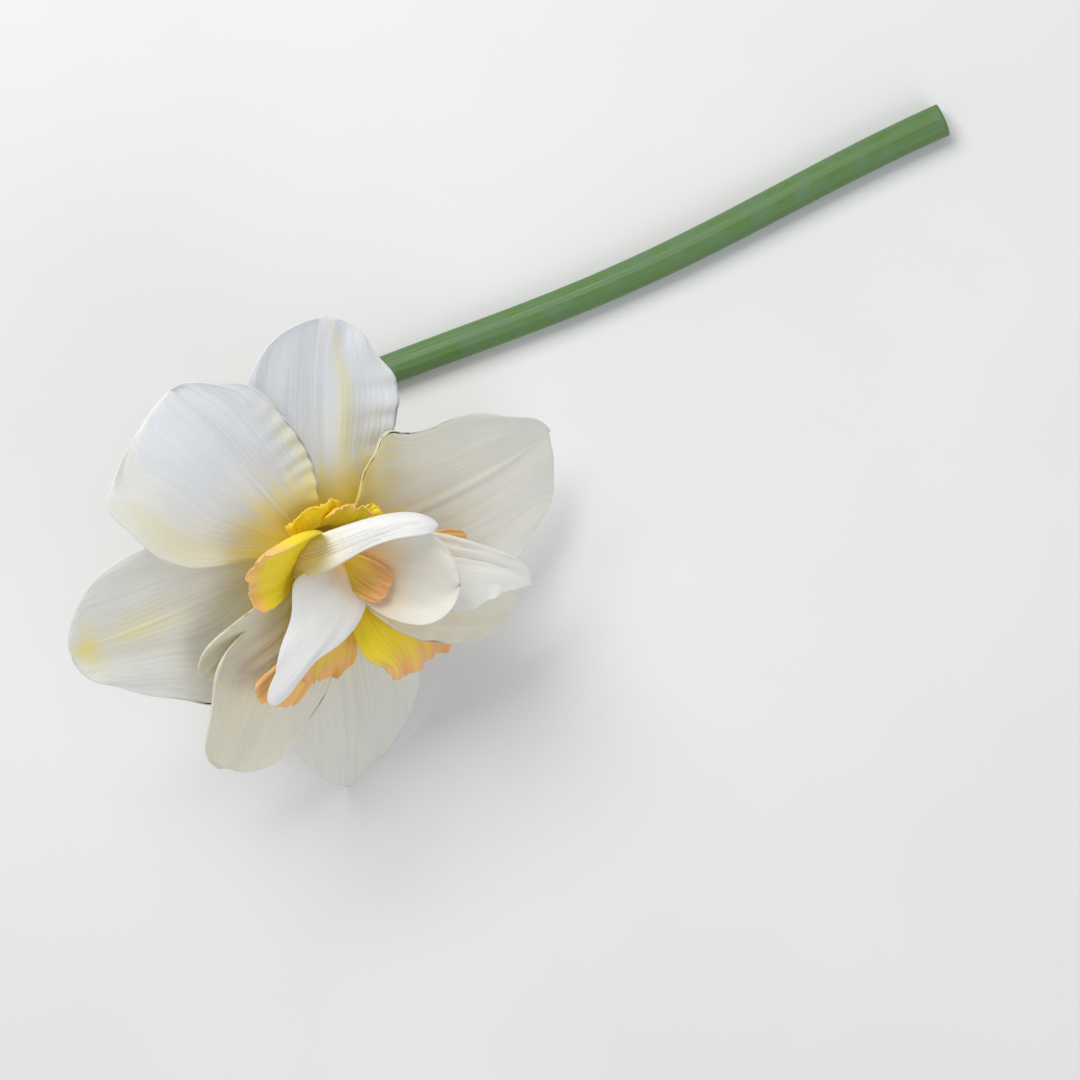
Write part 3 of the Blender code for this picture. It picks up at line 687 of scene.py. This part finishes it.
def petal_material(name, pale, shade, warm, blush, flush, veins=0.5, roughness=0.5):
    """Living petal: fine and broad streaks along its veins, mottling, a blush and a flushed margin."""
    material, tree, shader = new_material(name)
    fine = noise(tree, surface_vector(tree, *FINE_STREAKS), 1.0, 3.0, 0.6)
    broad = noise(tree, surface_vector(tree, *BROAD_STREAKS), 1.0, 3.0, 0.6)
    cells = noise(tree, own_vector(tree), PETAL_CELLS, 2.0)
    mottle = noise(tree, own_vector(tree), PETAL_MOTTLE, 3.0)
    colour = mixed(tree, field(tree, "warm"), pale, warm)
    colour = mixed(tree, ranged(tree, fine, 0.46, 0.7, 0.0, veins), colour, shade)
    colour = mixed(tree, ranged(tree, broad, 0.45, 0.75, 0.0, 0.6 * veins), colour, shade)
    colour = mixed(tree, ranged(tree, mottle, 0.45, 0.75, 0.0, 0.5 * veins), colour, shade)
    streaky = ranged(tree, fine, 0.3, 0.65, 1.2, 0.8)
    yellow = counted(tree, "MULTIPLY", field(tree, "blush"), streaky, clamp=True)
    colour = mixed(tree, yellow, colour, blush)
    patchy = ranged(tree, mottle, 0.3, 0.7, 1.15, 0.75)
    edge = counted(tree, "MULTIPLY", field(tree, "flush"), patchy, clamp=True)
    colour = mixed(tree, edge, colour, flush)
    tree.links.new(colour, shader.inputs["Base Color"])
    uneven_shine = ranged(tree, cells, 0.3, 0.7, roughness - 0.08, roughness + 0.12)
    tree.links.new(uneven_shine, shader.inputs["Roughness"])
    height = counted(tree, "MULTIPLY_ADD", cells, 0.2, counted(tree, "MULTIPLY_ADD", broad, 0.8, fine))
    set_bump(tree, shader, height, 0.6, 0.14)
    set_glow(shader, 0.35, 1.4, (1.0, 0.9, 0.6))
    shader.inputs["Specular IOR Level"].default_value = 0.35
    return material


# ---------------------------------------------------------------- stalks, ovary, tube and spathe


def turned_surface(radii, heights, lobes, depth, columns=96):
    """A body turned about the bloom axis whose radius swells by a cosine in a few lobes."""
    angles = np.arange(columns) * 2 * np.pi / columns
    swell = 1 + depth[:, None] * np.cos(lobes * angles)[None, :]
    across = radii[:, None] * swell
    up = np.broadcast_to(heights[:, None], across.shape)
    return np.stack([across * np.cos(angles), across * np.sin(angles), up], axis=-1) @ AXES.T + MOUTH


def around_uv(rows, columns):
    """Its own map: the angle across, mirrored at half a turn so that no seam shows, and the length along."""
    across = 1 - np.abs(np.arange(columns) / columns * 2 - 1)
    grid = np.meshgrid(across, np.linspace(0, 1, rows))
    return np.stack([grid[0].ravel(), grid[1].ravel()], axis=-1)


def add_round(name, points, material):
    """A closed skin over rings of points, with a cap at each end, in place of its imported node."""
    rows, columns = points.shape[:2]
    caps = range(columns), range(rows * columns - 1, (rows - 1) * columns - 1, -1)
    faces = sheet_faces(rows, columns, around=True)[:, ::-1]
    fields = {"uv": around_uv(rows, columns)}
    piece = add_piece(name + "_skin", points.reshape(-1, 3), faces, fields, caps)
    piece.data.materials.append(material)
    face_outwards(piece)
    place_piece(piece, name)
    return piece


def face_outwards(piece):
    """Turns a closed mesh's faces outwards where its volume comes out negative."""
    mesh = piece.data
    mesh.calc_loop_triangles()
    corners = np.empty(len(mesh.loop_triangles) * 3, np.int32)
    mesh.loop_triangles.foreach_get("vertices", corners)
    points = np.empty(len(mesh.vertices) * 3)
    mesh.vertices.foreach_get("co", points)
    if np.linalg.det(points.reshape(-1, 3)[corners.reshape(-1, 3)]).sum() < 0:
        mesh.flip_normals()


def carried(path, first, second, half_width, half_height, ribs, columns=72):
    """Rings carried along a path: an oval of two half axes at each point, with ribs as cosines round it."""
    angles = np.arange(columns) * 2 * np.pi / columns
    number, height = ribs
    swell = 1 + height * (np.cos(number * angles) + 0.6 * uneven(angles / (2 * np.pi), 5, slowest=3.0))
    across = (half_width[:, None] * swell * np.cos(angles))[..., None] * first[:, None, :]
    up = (half_height[:, None] * swell * np.sin(angles))[..., None] * second[:, None, :]
    return path[:, None, :] + across + up


def pedicel_path(rows=60):
    """Out of the ovary, round an arc from the bloom axis to +X, then straight on; with its own axes."""
    axis = AXES[:, 2]
    start = MOUTH - axis * (TUBE_LENGTH + OVARY_LENGTH + 2 * SEAT_GAP)
    onward = np.array([1.0, 0.0, 0.0])
    inward = onward - axis * onward.dot(axis)
    inward /= np.linalg.norm(inward)
    turn = math.acos(-axis.dot(onward))
    bends = np.minimum(np.linspace(0, turn + PEDICEL_STRAIGHT / PEDICEL_BEND, rows), turn)
    further = np.maximum(np.linspace(-turn * PEDICEL_BEND, PEDICEL_STRAIGHT, rows), 0)
    path = start + PEDICEL_BEND * (-axis * np.sin(bends)[:, None] + inward * (1 - np.cos(bends))[:, None])
    path = path + onward * further[:, None]
    forward = -axis * np.cos(bends)[:, None] + inward * np.sin(bends)[:, None]
    side = np.cross(axis, inward)
    return path, forward, np.broadcast_to(side / np.linalg.norm(side), path.shape)


def add_pedicel(material):
    """The bloom's stalk: a round of ten faint ribs that thickens a little towards both its ends."""
    path, forward, side = pedicel_path()
    places = np.linspace(0, 1, len(path))
    least, more = PEDICEL_ENDS
    radius = PEDICEL_RADIUS * (least + more * np.abs(places * 2 - 1) ** 4)
    points = carried(path, side, np.cross(forward, side), radius, radius, PEDICEL_RIBS)
    add_round("pedicel", points, material)


def add_scape(material):
    """The hollow leafless stem: a ridged oval that bows sideways by a squared sine, open at its cut end."""
    top = pedicel_path()[0][-1] + np.array([SEAT_GAP, 0.0, 0.0])
    share = np.concatenate([np.linspace(0, SHOULDER, 8)[:-1], np.linspace(SHOULDER, 1.0, 240)])
    rounded = SHOULDER_START + (1 - SHOULDER_START) * np.sqrt(np.minimum(share / SHOULDER, 1))
    bow = SCAPE_BOW * np.sin(np.pi * share) ** 2
    lift = np.interp(share, [0, 1], SCAPE_HALF_HEIGHT)
    path = np.stack([top[0] + SCAPE_LENGTH * share, top[1] - bow, lift], axis=-1)
    inside = np.outer(HOLLOW_PLACES, [HOLLOW_DEPTH, 0.0, 0.0])
    path = np.vstack([path, path[-1] - inside])
    mouth = np.array(HOLLOW_SIZES)
    half_width = np.interp(share, [0, 1], SCAPE_HALF_WIDTH) * rounded
    half_width = np.concatenate([half_width, SCAPE_HALF_WIDTH[1] * mouth])
    half_height = np.concatenate([lift * rounded, SCAPE_HALF_HEIGHT[1] * mouth])
    first = np.broadcast_to([0.0, 1.0, 0.0], path.shape)
    second = np.broadcast_to([0.0, 0.0, 1.0], path.shape)
    points = carried(path, first, second, half_width, half_height, SCAPE_RIBS, columns=96)
    points[..., 2] = np.maximum(points[..., 2], 0.0)
    add_round("flower_stem", points, material)


def add_ovary(material):
    """A three-lobed egg cut off at its neck and its foot: a sine to a power, lobes deepest half way."""
    angles = np.linspace(*OVARY_CUTS, 90) * np.pi
    radii = OVARY_RADIUS * np.sin(angles) ** OVARY_POWER
    fallen = (np.cos(angles[0]) - np.cos(angles)) / (np.cos(angles[0]) - np.cos(angles[-1]))
    heights = -TUBE_LENGTH - SEAT_GAP - OVARY_LENGTH * fallen
    lobes, depth = OVARY_LOBES
    points = turned_surface(radii, heights, lobes, depth * np.sin(np.pi * fallen))
    add_round("ovary", points, material)


def add_tube(material):
    """A slender cone that flares by a power of its length, with ribs that deepen to its rim, and a throat."""
    share = np.linspace(0, 1, 90)
    flare = share**TUBE_FLARE
    ribs, depth, more = TUBE_RIBS
    radii = np.concatenate([TUBE_FOOT_RADIUS + (TUBE_RIM_RADIUS - TUBE_FOOT_RADIUS) * flare, THROAT_RADII])
    heights = np.concatenate([-TUBE_LENGTH + (TUBE_LENGTH - TUBE_RIM_DEPTH) * share, THROAT_HEIGHTS])
    depths = np.concatenate([depth + more * flare, np.zeros(len(THROAT_RADII))])
    points = turned_surface(radii, heights, ribs, depths)
    piece = add_round("floral_tube", points, material)
    gold = np.repeat(np.clip((heights + GOLD_DEPTH) / GOLD_FADE, 0, 1), points.shape[1])
    layer = piece.data.attributes.new("gold", "FLOAT", "POINT")
    layer.data.foreach_set("value", gold.astype(np.float32))


def add_spathe(material, rows=120, columns=90):
    """Dry paper: arcs about the pedicel, whose half angle closes from a sleeve to a pointed tip."""
    top = pedicel_path()[0][-1]
    up = np.array([0.0, AXES[1, 2], AXES[2, 2]])
    up /= np.linalg.norm(up)
    side = np.cross(up, [1.0, 0.0, 0.0])
    share, across = np.meshgrid(np.linspace(0, 1, rows), np.linspace(-1, 1, columns), indexing="ij")
    turn = np.radians(np.interp(share, SPATHE_WRAP_PLACES, SPATHE_WRAP)) * across
    drop = np.interp(share, SPATHE_PLACES, SPATHE_DROP)
    crumple = SPATHE_CRUMPLE * share * uneven(across * 0.8 + 0.3 * share, 91, slowest=2.0)
    crumple = crumple * uneven(share, 92, slowest=2.0)
    radius = np.interp(share, SPATHE_PLACES, SPATHE_RADII) + crumple
    nick = 1 - 0.05 * share**2 * uneven(across, 93, slowest=2.5)
    lift = radius * (1 - np.cos(turn)) - SPATHE_RADII[0] - drop + crumple
    points = top - np.array([1.0, 0.0, 0.0]) * (SPATHE_LENGTH * share * nick)[..., None]
    points = points + up * lift[..., None] + side * (radius * np.sin(turn))[..., None]
    points[..., 2] = np.maximum(points[..., 2], SPATHE_LIFT)
    solid, faces = walled(points, np.full(share.shape, SPATHE_WALL))
    uv = np.tile(np.stack([(across.ravel() + 1) / 2, share.ravel()], axis=-1), (2, 1))
    piece = add_piece("spathe_skin", solid, faces, {"uv": uv})
    piece.data.materials.append(material)
    face_outwards(piece)
    place_piece(piece, "spathe")


def stalk_material(name, base, streak, bloom, streaks=STALK_STREAKS, specks=0.35, gilt=None):
    """Living stalk: streaks along it, a pale waxy bloom in patches, fine grain, and gold where asked."""
    material, tree, shader = new_material(name)
    lines = noise(tree, surface_vector(tree, *streaks), 1.0, 4.0, 0.6)
    wax = noise(tree, own_vector(tree), WAX_PATCHES, 3.0)
    grain = noise(tree, own_vector(tree), STALK_GRAIN, 2.0)
    colour = mixed(tree, ranged(tree, lines, 0.38, 0.68), base, streak)
    colour = mixed(tree, ranged(tree, wax, 0.4, 0.75, 0.0, specks), colour, bloom)
    colour = mixed(tree, ranged(tree, grain, 0.55, 0.8, 0.0, 0.5 * specks), colour, bloom)
    if gilt:
        colour = mixed(tree, field(tree, "gold"), colour, gilt)
    tree.links.new(colour, shader.inputs["Base Color"])
    tree.links.new(ranged(tree, wax, 0.3, 0.7, 0.34, 0.57), shader.inputs["Roughness"])
    set_bump(tree, shader, counted(tree, "MULTIPLY_ADD", grain, 0.2, lines), 0.5, 0.15)
    set_glow(shader, 0.12, 1.0, (0.6, 1.0, 0.3))
    return material


def paper_material():
    """Dry spathe: straw with brown veins and spots."""
    material, tree, shader = new_material("papery_spathe")
    veins = noise(tree, surface_vector(tree, *PAPER_STREAKS), 1.0, 5.0, 0.65)
    specks = noise(tree, own_vector(tree), PAPER_SPOTS, 4.0)
    colour = mixed(tree, ranged(tree, veins, 0.4, 0.62), STRAW, BARK)
    colour = mixed(tree, ranged(tree, specks, 0.5, 0.75, 0.0, 0.7), colour, BARK)
    tree.links.new(colour, shader.inputs["Base Color"])
    shader.inputs["Roughness"].default_value = 0.75
    set_bump(tree, shader, counted(tree, "MULTIPLY_ADD", specks, 0.4, veins), 0.7, 0.3)
    set_glow(shader, 0.25, 0.8, (1.0, 0.6, 0.3))
    return material


# ---------------------------------------------------------------- camera, light and floor


def add_light(name, light, target, right, up):
    """A square soft light that faces the target."""
    lamp = bpy.data.lights.new(name, "AREA")
    lamp.size = light["side"]
    lamp.energy = light["power"]
    lamp.color = light["tint"]
    rightwards, upwards, above = light["place"]
    away = right * rightwards + up * upwards + np.array([0, 0, above])
    holder = bpy.data.objects.new(name, lamp)
    holder.location = tuple(target + away)
    slant = math.atan2(math.hypot(away[0], away[1]), away[2])
    holder.rotation_euler = (slant, 0.0, math.atan2(away[1], away[0]) + math.pi / 2)
    bpy.context.scene.collection.objects.link(holder)


def add_stage():
    """A pale floor under the flower, a pale surround, two soft lights and the camera above."""
    scene = bpy.context.scene
    scene.view_settings.view_transform = "Standard"
    world = bpy.data.worlds.new("pale_room")
    scene.world = world
    world.use_nodes = True
    sky = world.node_tree.nodes["Background"]
    sky.inputs["Color"].default_value = (0.95, 0.97, 1.0, 1.0)
    sky.inputs["Strength"].default_value = ROOM_BRIGHTNESS

    half = TABLE_HALF_SIZE
    corners = [(-half, -half, 0), (half, -half, 0), (half, half, 0), (-half, half, 0)]
    mesh = bpy.data.meshes.new("table_top")
    mesh.from_pydata(corners, [], [(0, 1, 2, 3)])
    table = bpy.data.objects.new("table_top", mesh)
    scene.collection.objects.link(table)
    material, tree, shader = new_material("pale_table")
    grain = ranged(tree, noise(tree, own_vector(tree), 9.0), 0.3, 0.7)
    tree.links.new(mixed(tree, grain, *TABLE_GREYS), shader.inputs["Base Color"])
    shader.inputs["Roughness"].default_value = 0.8
    shader.inputs["Specular IOR Level"].default_value = 0.1
    mesh.materials.append(material)

    target = MOUTH * MM
    right, up = picture_axes()
    for name, light in LIGHTS.items():
        add_light(name, light, target, right, up)
    add_camera(scene, right, up)


def picture_axes():
    """The picture's right and up, level with the table."""
    roll = math.radians(CAMERA_ROLL)
    return np.array([math.cos(roll), math.sin(roll), 0.0]), np.array([-math.sin(roll), math.cos(roll), 0.0])


def add_camera(scene, right, up):
    """It looks straight down on the flower, turned so that the bloom stands as it grew."""
    eye = bpy.data.cameras.new("camera")
    eye.lens = CAMERA_LENS
    eye.clip_start = 0.01
    camera = bpy.data.objects.new("camera", eye)
    place = MOUTH + right * FRAME_MIDDLE[0] + up * FRAME_MIDDLE[1]
    camera.location = (place[0] * MM, place[1] * MM, (MOUTH[2] + CAMERA_HEIGHT) * MM)
    camera.rotation_euler = (0.0, 0.0, math.radians(CAMERA_ROLL))
    scene.collection.objects.link(camera)
    scene.camera = camera


# ---------------------------------------------------------------- the flower


def add_bloom():
    """Tepals, corona lobes, frill and petaloids, each blade with its own seed."""
    tepal = petal_material("white_tepal", SNOW, SHADE, IVORY, LEMON, SALMON)
    petaloid = petal_material("cream_petaloid", MILK, SHADE, IVORY, LEMON, APRICOT, veins=0.25)
    lobe = petal_material("corona_skin", EGG_YOLK, LEMON, EGG_YOLK, LEMON, SALMON, veins=0.3, roughness=0.4)
    groups = (
        (TEPALS, TEPAL_GRID, "tepal_white", tepal),
        (LOBES, LOBE_GRID, "corona_yellow", lobe),
        (FRILLS, LOBE_GRID, "corona_orange", lobe),
        (PETALOIDS, PETALOID_GRID, "petaloid_cream", petaloid),
    )
    seed = 10
    for blades, size, slot, material in groups:
        for name, blade in blades.items():
            add_blade(name, blade, size, material, seed)
            seed += 10


def add_stalks():
    """Everything below the bloom, from its pedicel to the cut end of the stem."""
    stalk = stalk_material("green_stalk", LEAF, (0.11, 0.22, 0.05), GREY_BLOOM)
    add_pedicel(stalk)
    add_scape(stalk)
    add_ovary(stalk_material("waxy_ovary", DEEP_LEAF, (0.045, 0.11, 0.04), GREY_BLOOM, specks=0.7))
    ribbed = dict(streaks=TUBE_STREAKS, gilt=EGG_YOLK)
    add_tube(stalk_material("lime_tube", LIME, (0.12, 0.2, 0.04), (0.5, 0.5, 0.1), **ribbed))
    add_spathe(paper_material())


add_bloom()
add_stalks()
add_stage()
